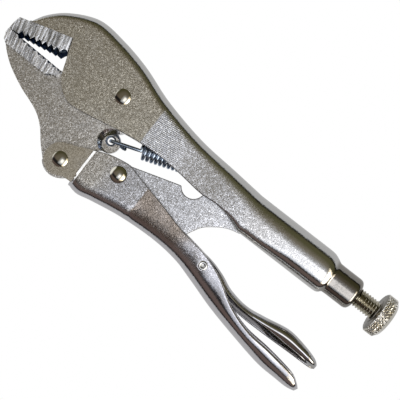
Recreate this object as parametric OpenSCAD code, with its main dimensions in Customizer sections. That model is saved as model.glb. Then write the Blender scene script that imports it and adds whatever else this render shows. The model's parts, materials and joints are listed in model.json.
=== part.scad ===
// Seven-inch locking pliers with straight jaws, shut and locked over centre.
// Everything is drawn about the main rivet: X runs along the adjusting screw towards its knob,
// Y from the lever towards the fixed handle's spine, Z across the tool from side to side.
// The whole tool is then set down so that it lies on its side on the plane Z = 0.

/* [Fixed handle] */
// Wall of the pressed steel channel
handle_wall = 2.3; // [2.0:0.1:2.4]
// Outside width across the head's two side plates
head_w = 12; // [12:0.1:12.6]
// Outside width of the tube behind the handle's waist
tube_w = 15.5; // [15:0.1:16]
// Radius of the tube before its sides are flattened
tube_r = 8.45; // [8.2:0.05:8.5]
// Radius of the necked end that the screw runs in
neck_r = 6.75; // [6:0.05:7]

/* [Lever handle] */
// Wall of the lever's pressed channel
lever_wall = 2.1; // [1.8:0.1:2.1]
// Outside width across the two ears on the jaw
ear_w = 11.6; // [11.6:0.1:12]
// Outside width of the channel behind the joggle
lever_w = 13; // [13:0.1:13.4]

/* [Release lever] */
// Wall of the release lever's channel
release_wall = 1.6; // [1.2:0.1:1.8]
// Outside width of the release lever
release_w = 8.2; // [7.8:0.1:8.2]

/* [Jaws and link] */
// Thickness of the moving jaw's forging between the plates
jaw_plate_w = 6.8; // [6.4:0.1:6.8]
// Width of both toothed blocks
tooth_w = 11.2; // [10.6:0.1:11.6]
// Distance from one tooth to the next
tooth_pitch = 2.45; // [2.3:0.05:2.5]
// Depth of a tooth
tooth_depth = 1.6; // [1:0.1:1.8]
// Thickness of the toggle link
link_w = 6.6; // [6:0.1:6.6]
// Thickness of the thin lug that holds the spring
lug_w = 3; // [2.6:0.1:3]

/* [Rivets] */
// Shank radius of the main, jaw and link rivets
shank_r = 2.5; // [2:0.1:2.6]
// Radius of the two low heads on the jaw
low_head_r = 3.1; // [3:0.1:3.4]
// Radius of the proud head over the link
proud_head_r = 3.45; // [3.3:0.05:3.6]
// Radius of the release lever's tubular rivet
eyelet_r = 1.85; // [1.6:0.05:2]
// Radius of the hole through the tubular rivet
eyelet_hole_r = 0.65; // [0.5:0.05:0.8]
// Radial clearance of a piece that turns on a rivet
running_gap = 0.05; // [0.03:0.01:0.1]

/* [Adjusting screw] */
// Radius over the thread
screw_r = 3.9; // [3.7:0.05:4]
// Radius of the knurled knob
knob_r = 8.75; // [8.5:0.05:9]
// Thickness of the knurled rim
knob_rim = 4.8; // [4:0.1:5.5]

/* [Spring] */
// Outside radius of the coil
coil_r = 3.4; // [3:0.05:3.4]
// Radius of the spring wire
wire_r = 0.6; // [0.5:0.05:0.65]

/* [Hidden] */
$fn = 64;

// Pivots, seen from the side
jaw_pivot = [0, 0];
lever_pivot = [-4.5, -33.7];
link_pivot = [17, -24.7];
link_tail = [73, -6.2];
release_pivot = [64, -32.5];

// Centre of the tool's footprint on X and Y, measured from the main rivet
centre = [41.55, -15.9];

// Half widths, from the middle plane
head_out = head_w / 2;
head_in = head_out - handle_wall;
tube_out = tube_w / 2;
tube_in_r = tube_r - handle_wall;
ear_out = ear_w / 2;
ear_in = ear_out - lever_wall;
lever_out = lever_w / 2;
lever_in = lever_out - lever_wall;
release_out = release_w / 2;
release_in = release_out - release_wall;

// Stations along the screw axis
axis_y = -5.55;
waist_x = 34;
tube_x = 64;
mouth_x = 78;
shoulder_x = 106.7;
neck_end_x = 118.8;
knob_x = 127.9;
tool_end_x = 134.2;
link_nose_r = 3;
// Room that the link's tail needs in front of the screw as the lever swings
tail_room = 2.9;
screw_tip_x = link_tail[0] + link_nose_r + tail_room;

// A rough box that is larger than the tool
far = 200;

// Outline of the handle's spine, from the nose to the tube
spine_points = [[-45.9, 1.6], [-43.3, 6.8], [-36.5, 13.3], [-25.5, 18.3], [-13, 17.5], [0, 14.7],
                [15, 9.6], [34, 5.6], [52, 4.1], [66, 2.9]];
// Lower edge of the side plates, from the tube forward to the jaw block's corner
belly_points = [[66, -14], [60.5, -11.8], [54, -10.7], [46, -11.1], [34, -9.9], [24, -9.5], [12, -10.4],
                [0, -12.6], [-10, -14.5], [-17, -14.4], [-22.9, -9.5], [-26, -2.2], [-27.3, 1], [-28.9, 6]];

// Underside of the moving jaw's forging, from the nose to the lever pivot's boss
chin_points = [[-49.9, -10.2], [-46.8, -13.4], [-41.7, -17.2], [-33.8, -21.1], [-24.4, -24.6], [-19, -28.4],
               [-14.5, -33.6], [-10.2, -37.9]];
// The forging's edge inside the head, from the teeth over the main rivet to the spring lug
crown_points = [[8.2, -11.5], [8.4, -1], [5, 6], [-2, 8.2], [-9, 5.5], [-17, -1.5], [-25.5, -8.2]];

// Lower outline of the lever, its web, from the bend to the tail
web_points = [[3.5, -39.8], [8.2, -40.7], [14.4, -39.4], [27.4, -37.3], [42, -36.5], [54, -37.5], [64, -40.2],
              [76.5, -44], [90, -47.1], [104, -49.8], [113, -50.2], [118.3, -50.3], [122, -49.6]];
// Upper edge of the lever's side plates, from the tail to the ears
lip_points = [[122.8, -47.9], [120.5, -46], [117, -44.3], [104.7, -42.5], [93, -41.5], [82, -37.9],
              [71.4, -31.8], [62, -28.6], [49, -26.5], [36, -23.2], [24.3, -20.6], [18.3, -19.2], [10, -20.5], [3.1, -23.4], [-1.4, -25.2]];

// Upper outline of the release lever, its web, from the nose to the tip
thumb_points = [[54, -28.2], [64.6, -28.7], [72.4, -30.7], [79, -33.4], [87.5, -34.7], [96, -33.6],
                [106, -31.8], [114, -32.7], [120.5, -34.4]];
// Lower edge of the release lever's side plates, from the tip to the nose
under_points = [[120.6, -38.8], [111, -39], [97, -39.4], [86, -39.2], [76, -37.6], [68, -35.6],
                [58, -34.2]];

// Upper edge of the toggle link, from the link rivet to the tail
link_top_points = [[18.5, -19.3], [26.3, -16.9], [36.5, -13.8]];
// Lower edge of the toggle link, from the tail to the stop that rests in the lever
link_low_points = [[67.9, -14.2], [62.1, -15.9], [55.7, -20.4], [53.2, -24], [51.7, -27.1]];

// Bosses round the pivots: the jaw's and the ear's on the lever rivet, the link's on its own rivet
jaw_boss_r = 7.4;
ear_r = 6.5;
link_boss_r = 5.6;
// The notch that the link is gripped by while it is set
notch_centre = [42.6, -10.7];
notch_r = 4.7;

// The jaw's thin lug for the spring, and the round pocket that thins it
lug_centre = [6.1, -17];
lug_r = 4.4;
pocket_centre = [6.4, -16.6];
pocket_r = 5;
// Spring hooks: the hole in the jaw's lug and the hole in the handle's tongue
lug_hole = [6.3, -16.3];
lug_hole_r = 1.5;
tongue_hole = [45.5, -2.5];
tongue_hole_r = 1.3;
// The tongue's size along the tool and across it, and its lower edge
tongue_size = [4.4, 7.9, 2];
tongue_low_y = -4.8;
// Where the coil starts and ends on the line from the lug's hole to the tongue's
coil_start = 12;
coil_end = 34;
// Length of a hook's free end
hook_end = 3;

// Where the lever's sides step out from the ears to the channel, and where they narrow at the tail
joggle = [[-60, ear_out], [3.6, ear_out], [5.2, lever_out]];
tail = [[98, 0], [110, 1], [119, 3], [124, 4.5]];

// A point on the smooth curve through the points a, b, c and d, between b and c
function spline(a, b, c, d, t) =
    b + 0.5 * t * ((c - a) + t * ((2 * a - 5 * b + 4 * c - d) + t * (3 * (b - c) + d - a)));
// A smooth curve through all the points, with the same number of steps between each two
function curve(p, steps = 4) = [
    for (i = [0:len(p) - 2]) for (k = [0:steps - 1])
        spline(p[max(i - 1, 0)], p[i], p[i + 1], p[min(i + 2, len(p) - 1)], k / steps),
    p[len(p) - 1]];
// Points of an arc about a centre, between two angles
function arc(c, r, from, to, steps = 12) =
    [for (k = [0:steps]) c + r * [cos(from + (to - from) * k / steps), sin(from + (to - from) * k / steps)]];
// The same points in the opposite order
function reversed(p) = [for (i = [len(p) - 1:-1:0]) p[i]];
// Pointed teeth along a line, starting at a tip
function teeth(start, angle, count, depth) = [
    for (i = [0:count - 1]) each [
        start + i * tooth_pitch * [cos(angle), sin(angle)],
        start + (i + 0.42) * tooth_pitch * [cos(angle), sin(angle)] + depth * [-sin(angle), cos(angle)]]];

// Where the spring's straight line runs
spring_run = tongue_hole - lug_hole;
spring_length = norm(spring_run);
spring_angle = atan2(spring_run[1], spring_run[0]);

// ---- Outlines ----

handle_outline = concat(curve(spine_points), [[tool_end_x, 2.9], [tool_end_x, -14]], curve(belly_points));
jaw_outline = concat(curve(chin_points), arc(lever_pivot, jaw_boss_r, 218, 372), [[2.4, -23.8]],
                     arc(lug_centre, lug_r, -115, 78), curve(crown_points), [[-49.9, -8.6]]);
lever_outline = concat(curve(web_points), curve(lip_points), arc(lever_pivot, ear_r, 68, 270), [[0, -38.6]]);
link_outline = concat(arc(link_pivot, link_boss_r, 120, 285), [[30, -28.6], [44, -27.9], [50, -27.7]],
                      reversed(curve(link_low_points)), arc(link_tail, link_nose_r, 250, 470),
                      [[60, -5.2], [47.5, -10.9]], arc(notch_centre, notch_r, -15, -148),
                      reversed(curve(link_top_points)));
release_outline = concat(curve(thumb_points), arc([121.3, -36.6], 2, 75, -70, 6), curve(under_points),
                         [[50.5, -33], [49, -31.5], [49.4, -29.4], [52.5, -29]]);

// ---- Helpers ----

// An outline with a thickness, centred on the middle plane
module slab(points, half) {
    translate([0, 0, -half]) linear_extrude(2 * half) polygon(points);
}

// The same shape on both sides of the middle plane
module both_sides() {
    children();
    mirror([0, 0, 1]) children();
}

// A straight pin across the tool
module across(at, r, half) {
    translate([at[0], at[1], -half]) cylinder(r = r, h = 2 * half);
}

// A rod along the screw axis
module along(x0, x1, r, r2 = -1) {
    translate([x0, axis_y, 0]) rotate([0, 90, 0]) cylinder(r1 = r, r2 = r2 < 0 ? r : r2, h = x1 - x0);
}

// A rivet with a domed head on each side
module rivet(at, r, head_r, half, rise) {
    dome_r = (head_r * head_r + rise * rise) / (2 * rise);
    translate([at[0], at[1], 0]) {
        across([0, 0], r, half);
        both_sides() intersection() {
            translate([0, 0, half]) cylinder(r = head_r, h = rise + 1);
            translate([0, 0, half + rise - dome_r]) sphere(r = dome_r);
        }
    }
}

// A prism seen from the tool's edge: half widths given at stations along X
module width_prism(stations) {
    rotate([90, 0, 0]) translate([0, 0, -far / 2]) linear_extrude(far)
        polygon(concat(stations, reversed([for (s = stations) [s[0], -s[1]]])));
}

// One end of the spring: a straight run, a hook through a plate and the hook's free end behind it
module spring_hook(run, half) {
    both_ends = half + wire_r + 0.1;
    translate([0, 0, both_ends]) rotate([0, 90, 0]) cylinder(r = wire_r, h = run, $fn = 24);
    translate([0, 0, -both_ends]) cylinder(r = wire_r, h = 2 * both_ends, $fn = 24);
    translate([0, 0, -both_ends]) rotate([0, 90, 0]) cylinder(r = wire_r, h = hook_end, $fn = 24);
    both_sides() translate([0, 0, both_ends]) sphere(r = wire_r, $fn = 24);
}

// ---- Pieces ----

// One pressed channel: head plates, spine, tube and necked end
module fixed_handle_form() {
    difference() {
        union() {
            intersection() {
                slab(handle_outline, tube_out);
                width_prism([[-60, head_out], [waist_x, head_out], [tube_x, tube_out], [shoulder_x, tube_out]]);
                union() {
                    translate([-60, -60, -20]) cube([waist_x + 60, 120, 40]);
                    along(waist_x, tube_x, 14.5, tube_r);
                    along(tube_x, shoulder_x, tube_r);
                }
            }
            along(shoulder_x - 3, neck_end_x, neck_r);
        }
        // Inside of the channel, open along the belly
        intersection() {
            slab(concat([for (p = curve(spine_points)) p + [0.6, -handle_wall]],
                        [[mouth_x, 0.6], [mouth_x, -30], [-60, -30], [-60, -6]]), tube_out);
            width_prism([[-70, head_in], [waist_x, head_in], [tube_x - 3, head_in + 1.3], [72, head_in + 1.3],
                         [mouth_x, head_in]]);
        }
        along(tube_x, shoulder_x - handle_wall, tube_in_r);
        along(shoulder_x - handle_wall - 1, neck_end_x + 1, screw_r + running_gap);
        // Seam along the underside
        translate([mouth_x - 1, -20, -1.2]) cube([shoulder_x - handle_wall - mouth_x + 1, 20 + axis_y, 2.4]);
        translate([shoulder_x - 4, -20, -0.3]) cube([20, 20 + axis_y, 0.6]);
        across(jaw_pivot, shank_r, far);
    }
    // Tongue pressed in from the spine for the spring's rear hook
    difference() {
        translate([tongue_hole[0] - tongue_size[0] / 2 - 0.1, tongue_low_y, -tongue_size[2] / 2]) cube(tongue_size);
        across(tongue_hole, tongue_hole_r, tongue_size[2]);
    }
}

// The toothed block that is welded into the head
module fixed_jaw_form() {
    block = concat([[-50.2, 0], [-28.9, 5.75], [-27.3, 0.8]],
                   reversed(teeth([-46.6, -5.6], 14.4, 8, tooth_depth)), [[-49.6, -5.65], [-51, -5.4], [-50.9, -3]]);
    slab(block, tooth_w / 2);
    slab([[-44.5, 1.5], [-41, 6.5], [-34, 12], [-26, 13.5], [-21.5, 9], [-21.5, 1.2], [-27.3, 0.8], [-29, 1.5]],
         head_in);
}

// The forged moving jaw, with its toothed block and its thin spring lug
module moving_jaw_form() {
    block = concat(teeth([-46.6, -5.95], -2, 9, -0.8 * tooth_depth),
                   [[-25.2, -6.6], [-25.2, -9.6], [-27.4, -9.9], [-29.4, -11.5], [-48.6, -11.3], [-50.2, -10.2],
                    [-51.1, -7.6], [-51.1, -6], [-49.6, -5.95]]);
    difference() {
        union() {
            slab(jaw_outline, jaw_plate_w / 2);
            slab(block, tooth_w / 2);
        }
        both_sides() translate([pocket_centre[0], pocket_centre[1], lug_w / 2]) cylinder(r = pocket_r, h = tooth_w);
        across(jaw_pivot, shank_r + running_gap, far);
        across(lever_pivot, shank_r + running_gap, far);
        across(lug_hole, lug_hole_r, far);
    }
}

// The lever's pressed channel: ears on the jaw, joggled out to a wider channel
module lever_handle_form() {
    outside = concat(joggle, [for (s = tail) [s[0], lever_out - s[1]]]);
    hollow = concat([for (s = joggle) s - [0, lever_wall]],
                    [for (s = tail) if (s[1] < lever_in - 1) [s[0], lever_in - s[1]]]);
    difference() {
        intersection() {
            slab(lever_outline, lever_out);
            width_prism(outside);
        }
        intersection() {
            slab(concat([[-60, -60], [2.6, -60], [3.9, -37.6]],
                        [for (p = curve([for (i = [1:len(web_points) - 2]) web_points[i]]))
                            if (p[0] < 114) p + [0, lever_wall]],
                        [[117, -46.4], [117, 0], [-60, 0]]), lever_out);
            width_prism(hollow);
        }
        across(lever_pivot, shank_r, far);
        across(link_pivot, shank_r, far);
        across(release_pivot, eyelet_r - 0.35, far);
    }
}

// The solid link that props the lever open against the screw
module toggle_link_form() {
    difference() {
        slab(link_outline, link_w / 2);
        across(link_pivot, shank_r + running_gap, far);
    }
}

// The release lever's channel, open towards the lever handle
module release_lever_form() {
    difference() {
        intersection() {
            slab(release_outline, release_out);
            width_prism([[40, release_out], [104, release_out], [114, release_out - 0.6], [121.5, release_out - 2.6],
                         [123.8, release_out - 3.4]]);
        }
        intersection() {
            slab(concat([for (p = curve(thumb_points)) if (p[0] > 53 && p[0] < 116) p + [0, -release_wall]],
                        [[116, -60], [40, -60], [40, -30.8], [54, -30]]), release_in);
            width_prism([[40, release_in], [104, release_in], [116, release_in - 1]]);
        }
        across(release_pivot, eyelet_r - 0.35 + running_gap, far);
    }
}

// A tubular rivet: a rolled rim on each side of the lever and a hole through it
module release_rivet_form() {
    difference() {
        translate([release_pivot[0], release_pivot[1], 0]) {
            across([0, 0], eyelet_r - 0.35, lever_out);
            both_sides() translate([0, 0, lever_out]) cylinder(r1 = eyelet_r, r2 = eyelet_r - 0.4, h = 0.45);
        }
        across(release_pivot, eyelet_hole_r, far);
    }
}

// The screw's threaded rod, with a blunt tip behind the link's tail
module adjusting_screw_form() {
    along(screw_tip_x, screw_tip_x + 1, screw_r - 1.2, screw_r);
    along(screw_tip_x + 1, knob_x, screw_r);
}

// The round knob on the screw's end
module adjusting_knob_form() {
    rim_end = knob_x + knob_rim;
    along(knob_x, knob_x + 0.6, screw_r + 1.6, knob_r - 0.9);
    along(knob_x + 0.6, knob_x + 1.2, knob_r - 0.9, knob_r);
    along(knob_x + 1.2, rim_end, knob_r);
    along(rim_end, tool_end_x, knob_r, knob_r - 1.3);
}

// The tension spring that pulls the jaw open: a hollow coil with a hook at each end
module jaw_spring_form() {
    translate([lug_hole[0], lug_hole[1], 0]) rotate([0, 0, spring_angle]) {
        spring_hook(coil_start + wire_r, lug_w / 2);
        translate([spring_length, 0, 0]) mirror([1, 0, 0])
            spring_hook(spring_length - coil_end + wire_r, 1);
        translate([coil_start, 0, 0]) rotate([0, 90, 0]) difference() {
            cylinder(r = coil_r, h = coil_end - coil_start);
            translate([0, 0, wire_r * 2]) cylinder(r = coil_r - 2 * wire_r, h = coil_end - coil_start - 4 * wire_r);
        }
    }
}

// ---- The tool, lying on its side with its footprint centred on the origin ----

module lay_down() {
    translate([-centre[0], -centre[1], knob_r]) children();
}

module fixed_handle() color([0.55, 0.53, 0.49]) lay_down() fixed_handle_form();
module fixed_jaw() color([0.66, 0.65, 0.63]) lay_down() fixed_jaw_form();
module moving_jaw() color([0.52, 0.50, 0.47]) lay_down() moving_jaw_form();
module jaw_rivet() color([0.62, 0.58, 0.52]) lay_down() rivet(jaw_pivot, shank_r, low_head_r, head_out, 0.9);
module lever_handle() color([0.57, 0.55, 0.52]) lay_down() lever_handle_form();
module lever_rivet() color([0.62, 0.58, 0.52]) lay_down() rivet(lever_pivot, shank_r, low_head_r, ear_out, 0.9);
module toggle_link() color([0.63, 0.63, 0.64]) lay_down() toggle_link_form();
module link_rivet() color([0.62, 0.58, 0.52]) lay_down() rivet(link_pivot, shank_r, proud_head_r, lever_out, 1.3);
module release_lever() color([0.45, 0.45, 0.46]) lay_down() release_lever_form();
module release_rivet() color([0.75, 0.75, 0.76]) lay_down() release_rivet_form();
module adjusting_screw() color([0.5, 0.48, 0.45]) lay_down() adjusting_screw_form();
module adjusting_knob() color([0.56, 0.55, 0.53]) lay_down() adjusting_knob_form();
module jaw_spring() color([0.25, 0.29, 0.34]) lay_down() jaw_spring_form();

fixed_handle();
fixed_jaw();
moving_jaw();
jaw_rivet();
lever_handle();
lever_rivet();
toggle_link();
link_rivet();
release_lever();
release_rivet();
adjusting_screw();
adjusting_knob();
jaw_spring();
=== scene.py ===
"""Looks of the seven-inch locking pliers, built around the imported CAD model.

Shapes are worked out in millimetres from the main rivet: x along the adjusting screw towards its knob,
y from the lever towards the fixed handle's spine, z across the tool. The frame says where the rivet is.
"""

import json
import math

import bmesh
import bpy
import numpy as np
from mathutils import Matrix, Vector


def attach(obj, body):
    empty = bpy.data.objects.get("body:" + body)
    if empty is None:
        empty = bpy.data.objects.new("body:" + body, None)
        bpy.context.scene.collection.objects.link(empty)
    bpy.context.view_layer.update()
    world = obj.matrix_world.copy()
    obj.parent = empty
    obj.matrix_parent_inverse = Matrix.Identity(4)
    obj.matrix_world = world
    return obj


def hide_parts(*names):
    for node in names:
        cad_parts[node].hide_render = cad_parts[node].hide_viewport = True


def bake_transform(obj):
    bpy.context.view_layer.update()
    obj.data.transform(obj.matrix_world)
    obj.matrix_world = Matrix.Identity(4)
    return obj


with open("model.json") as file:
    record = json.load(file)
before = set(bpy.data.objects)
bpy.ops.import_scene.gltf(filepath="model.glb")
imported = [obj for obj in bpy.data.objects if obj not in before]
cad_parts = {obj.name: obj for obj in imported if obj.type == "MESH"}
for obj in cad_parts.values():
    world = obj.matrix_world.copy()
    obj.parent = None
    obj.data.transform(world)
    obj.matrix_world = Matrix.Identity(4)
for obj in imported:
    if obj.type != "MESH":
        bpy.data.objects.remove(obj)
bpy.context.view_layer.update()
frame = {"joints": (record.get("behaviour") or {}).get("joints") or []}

MM = 0.001
PIVOTS = {j["name"]: Vector(j["pos_m"]) for j in frame["joints"] if "pos_m" in j}
RIVET = PIVOTS["jaw_open"]


def place(point):
    """A point in millimetres from the main rivet, as a place in the frame."""
    return RIVET + Vector(point) * MM


def from_rivet(place_m):
    """A place in the frame, as (x, y) in millimetres from the main rivet."""
    local = (Vector(place_m) - RIVET) / MM
    return (local.x, local.y)


# ---- Sizes, which repeat the CAD model's ----

HEAD_HALF, TUBE_HALF, HANDLE_WALL = 6.0, 7.75, 2.3
EAR_HALF, LEVER_HALF, LEVER_WALL = 5.8, 6.5, 2.1
RELEASE_HALF, RELEASE_WALL = 4.1, 1.6
JAW_HALF, TOOTH_HALF, LINK_HALF, LUG_HALF = 3.4, 5.6, 3.3, 1.5
AXIS_Y = -5.55
KNOB_X, TOOL_END_X = 127.9, 134.2
KNOB_R, SCREW_R, SCREW_TIP_X = 8.75, 3.9, 78.9
SHANK_R, SMALL_HEAD_R, SMALL_RISE = 2.5, 3.1, 0.9
LINK_HEAD_R, LINK_RISE, SEAT_DEPTH = 3.35, 1.3, 0.35
RELEASE_BORE_R, RELEASE_RIM_R = 1.5, 1.9
RUNNING_GAP = 0.05
TOOTH_PITCH, TOOTH_DEPTH = 2.45, 1.6
FIRST_TOOTH_X, FIXED_TIP_Y, MOVING_TIP_Y = -46.6, -5.55, -5.95
THREAD_PITCH, THREAD_DEPTH = 1.25, 0.62
TONGUE_HOLE_R, LUG_HOLE_R = 1.3, 1.4
BEYOND = 9  # past the tool's sides, for cutters
LINK_TAIL, LINK_NOSE_R = (73, -6.2), 3
LUG_HOLE, TONGUE_HOLE = (6.3, -16.3), (45.5, -2.5)

MAIN_AT = (0.0, 0.0)
LEVER_AT = from_rivet(PIVOTS["lever_swing"])
LINK_AT = from_rivet(PIVOTS["link_swing"])
RELEASE_AT = from_rivet(PIVOTS["release_press"])


# ---- Curves ----


def curve(points, steps=8):
    """A smooth curve through all the points."""
    p = [np.array(q, float) for q in points]
    made = []
    for i in range(len(p) - 1):
        a, b, c, d = p[max(i - 1, 0)], p[i], p[i + 1], p[min(i + 2, len(p) - 1)]
        for t in np.arange(steps) / steps:
            bend = 2 * a - 5 * b + 4 * c - d + t * (3 * (b - c) + d - a)
            made.append(b + 0.5 * t * ((c - a) + t * bend))
    made.append(p[-1])
    return np.array(made)


def arc(centre, radius, start, end, steps=12):
    """Points of an arc between two angles in degrees."""
    angles = np.radians(np.linspace(start, end, steps + 1))
    return np.array(centre, float) + radius * np.stack([np.cos(angles), np.sin(angles)], 1)


def circle(centre, radius, count):
    """Points round a circle."""
    return arc(centre, radius, 0, 360 - 360 / count, count - 1)


def teeth(start, angle, count, depth):
    """Pointed teeth along a line, starting at a tip."""
    along = np.array([math.cos(math.radians(angle)), math.sin(math.radians(angle))])
    across = np.array([-along[1], along[0]])
    made = []
    for i in range(count):
        made.append(np.array(start) + i * TOOTH_PITCH * along)
        made.append(np.array(start) + (i + 0.42) * TOOTH_PITCH * along + depth * across)
    return np.array(made)


def graph(line, x):
    """The height of a line of points at x."""
    return np.interp(x, line[:, 0], line[:, 1])


# ---- Meshes ----


def mesh_of(name, bm):
    """A mesh from a bmesh, which is freed."""
    mesh = bpy.data.meshes.new(name)
    bm.to_mesh(mesh)
    bm.free()
    return mesh


def stand(name, data):
    """A new object in the scene."""
    piece = bpy.data.objects.new(name, data)
    bpy.context.scene.collection.objects.link(piece)
    return piece


def new_piece(name, bm, smooth_angle=40.0):
    """A mesh object in the frame from a bmesh in millimetres from the rivet."""
    bmesh.ops.remove_doubles(bm, verts=bm.verts, dist=1e-4)
    bmesh.ops.dissolve_degenerate(bm, edges=bm.edges, dist=1e-4)
    bmesh.ops.recalc_face_normals(bm, faces=bm.faces)
    bmesh.ops.transform(bm, matrix=Matrix.Translation(RIVET) @ Matrix.Scale(MM, 4), verts=bm.verts)
    piece = stand(name, mesh_of(name, bm))
    shade(piece, smooth_angle)
    return piece


def shade(piece, smooth_angle):
    """Smooth shading with edges sharper than the angle left hard."""
    mesh = piece.data
    mesh.polygons.foreach_set("use_smooth", [True] * len(mesh.polygons))
    mesh.set_sharp_from_angle(angle=math.radians(smooth_angle))


def apply_modifiers(piece):
    """Turns the piece's mesh into what its modifiers make of it."""
    bpy.context.view_layer.update()
    graph_now = bpy.context.evaluated_depsgraph_get()
    mesh = bpy.data.meshes.new_from_object(piece.evaluated_get(graph_now))
    old = piece.data
    piece.modifiers.clear()
    piece.data = mesh
    bpy.data.meshes.remove(old)


def combine(piece, tools, operation):
    """Adds or cuts away the tool solids, and removes the tools."""
    for tool in tools:
        step = piece.modifiers.new("combine", "BOOLEAN")
        step.operation = operation
        step.solver = "EXACT"
        step.object = tool
    apply_modifiers(piece)
    for tool in tools:
        bpy.data.objects.remove(tool)


def flat_faces(piece, smooth_angle):
    """Smooth shading that leaves the large faces flat."""
    shade(piece, smooth_angle)
    flat = piece.modifiers.new("flat faces", "WEIGHTED_NORMAL")
    flat.keep_sharp = True
    return piece


def soften(piece, width, segments):
    """Rounds every edge that is sharper than 30 degrees."""
    step = piece.modifiers.new("soften", "BEVEL")
    step.width = width * MM
    step.segments = segments
    step.limit_method = "ANGLE"
    step.angle_limit = math.radians(30)
    apply_modifiers(piece)
    return flat_faces(piece, 40.0)


def prism(name, outline, low, high):
    """A flat plate: an outline with a thickness."""
    bm = bmesh.new()
    shade_under_block = [bm.verts.new((x, y, low)) for x, y in outline]
    over = [bm.verts.new((x, y, high)) for x, y in outline]
    bm.faces.new(reversed(shade_under_block))
    bm.faces.new(over)
    for i in range(len(shade_under_block)):
        k = (i + 1) % len(shade_under_block)
        bm.faces.new((shade_under_block[i], shade_under_block[k], over[k], over[i]))
    return new_piece(name, bm)


def slab(name, outline, half):
    """A plate that is centred on the tool's middle plane."""
    return prism(name, outline, -half, half)


def pin(name, at, radius, half, steps=48):
    """A straight pin across the tool."""
    return slab(name, circle(at, radius, steps), half)


def bore(at, radius, steps=48):
    """A cutter for a round hole through the whole tool."""
    return pin("bore", at, radius, BEYOND, steps)


def skin(bm, rings, looped=False):
    """Faces between closed rings of points, with a cap on each end or looped from the last to the first."""
    made = [[bm.verts.new(p) for p in ring] for ring in rings]
    pairs = list(zip(made, made[1:])) + ([(made[-1], made[0])] if looped else [])
    for a, b in pairs:
        for i in range(len(a)):
            k = (i + 1) % len(a)
            bm.faces.new((a[i], a[k], b[k], b[i]))
    if not looped:
        bm.faces.new(reversed(made[0]))
        bm.faces.new(made[-1])


def turned(x, radii_at_turns):
    """A ring round the screw's axis at x, from (radius, turn) pairs."""
    return [(x, AXIS_Y + r * math.cos(turn), r * math.sin(turn)) for r, turn in radii_at_turns]


def tube(bm, path, radius):
    """A wire along a path, with its sides carried along without twist."""
    side, sides = Vector((0, 0, 1)), 10
    rings = []
    for i, point in enumerate(path):
        ahead = (path[min(i + 1, len(path) - 1)] - path[max(i - 1, 0)]).normalized()
        side = side - ahead * side.dot(ahead)
        if side.length < 1e-3:
            side = ahead.orthogonal()
        side.normalize()
        other = ahead.cross(side)
        turns = [2 * math.pi * k / sides for k in range(sides)]
        rings.append([point + radius * (math.cos(t) * side + math.sin(t) * other) for t in turns])
    skin(bm, rings)


# ---- Pressed channels ----


def corner(centre, radii, start):
    """A quarter ellipse in (depth, width), turning clockwise from an angle in degrees."""
    return np.array(centre, float) + arc((0, 0), 1, start, start - 90, 9) * np.array(radii)


def channel_section(length, half, wall, web_d, web_r, lip_r, gap, drop=0.0):
    """A channel's section as (depth, width) points, from its web's middle round both sides.

    length is its depth, half its half width and gap the half opening between its lips. The web's corner
    is web_d deep and web_r wide, and drop is how far each side leans in from there to its lip."""
    wall = min(wall, 0.42 * length, 0.8 * half)
    lip_r = min(lip_r, 0.35 * length, max(half - drop - gap, 0.05))
    web_d = min(web_d, length - lip_r - 0.05)
    web_r = min(web_r, half)
    low_half = half - drop
    gap = min(gap, low_half - lip_r)
    inner_d, inner_r = max(web_d - wall, 0.1), max(web_r - wall, 0.1)
    inner_lip = max(lip_r - wall, 0.0)
    inner_half, inner_low = half - wall, max(low_half - wall, 0.05 + inner_lip)
    inner_end = max(length - wall - inner_lip, wall + inner_d + 0.02)
    inner_gap = min(gap, inner_low - inner_lip)

    def side(start, end, at, to, bend):
        """The run between two corners: from one depth and width to another."""
        t = np.linspace(0, 1, 8)
        return np.stack([start + (end - start) * t, at + (to - at) * t**bend], 1)

    parts = [
        [[0, 0]],
        corner((web_d, half - web_r), (web_d, web_r), 180),
        side(web_d, length - lip_r, half, low_half, 1.3),
        corner((length - lip_r, low_half - lip_r), (lip_r, lip_r), 90),
        [[length, gap], [inner_end + inner_lip, inner_gap]],
        corner((inner_end, inner_low - inner_lip), (inner_lip, inner_lip), 90)[::-1],
        side(inner_end, wall + inner_d, inner_low, inner_half, 0.77),
        corner((wall + inner_d, inner_half - inner_r), (inner_d, inner_r), 180)[::-1],
        [[wall, 0]],
    ]
    half_loop = np.concatenate([np.array(part, float) for part in parts])
    mirrored = half_loop[1:-1][::-1] * np.array([1, -1])
    return np.concatenate([half_loop, mirrored])


def channel(bm, stations):
    """A pressed channel from stations: (web point, lip point, section values)."""
    rings = []
    for web, lip, values in stations:
        web, lip = np.array(web, float), np.array(lip, float)
        length = max(np.linalg.norm(lip - web), 0.3)
        along = (lip - web) / max(np.linalg.norm(lip - web), 1e-6)
        section = channel_section(length, **values)
        rings.append([(*(web + along * a), z) for a, z in section])
    skin(bm, rings)


def paired(web_line, lip_line, web_keys, lip_keys, spacing):
    """Evenly spaced pairs of points on two lines, matched at the key places along x."""
    pairs = []
    for i in range(len(web_keys) - 1):
        t = np.linspace(0, 1, 400)
        wx = web_keys[i] + (web_keys[i + 1] - web_keys[i]) * t
        lx = lip_keys[i] + (lip_keys[i + 1] - lip_keys[i]) * t
        web = np.stack([wx, graph(web_line, wx)], 1)
        lip = np.stack([lx, graph(lip_line, lx)], 1)
        pace = np.maximum(
            np.linalg.norm(np.diff(web, axis=0), axis=1), np.linalg.norm(np.diff(lip, axis=0), axis=1)
        )
        run = np.concatenate([[0], np.cumsum(pace)])
        count = max(2, int(run[-1] / spacing))
        picks = np.interp(np.linspace(0, run[-1], count + 1), run, t)
        last = len(web_keys) - 2
        for pick in picks if i == last else picks[:-1]:
            k = pick * 399
            web_x, lip_x = np.interp(k, range(400), wx), np.interp(k, range(400), lx)
            pairs.append(((web_x, graph(web_line, web_x)), (lip_x, graph(lip_line, lip_x))))
    return pairs


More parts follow.
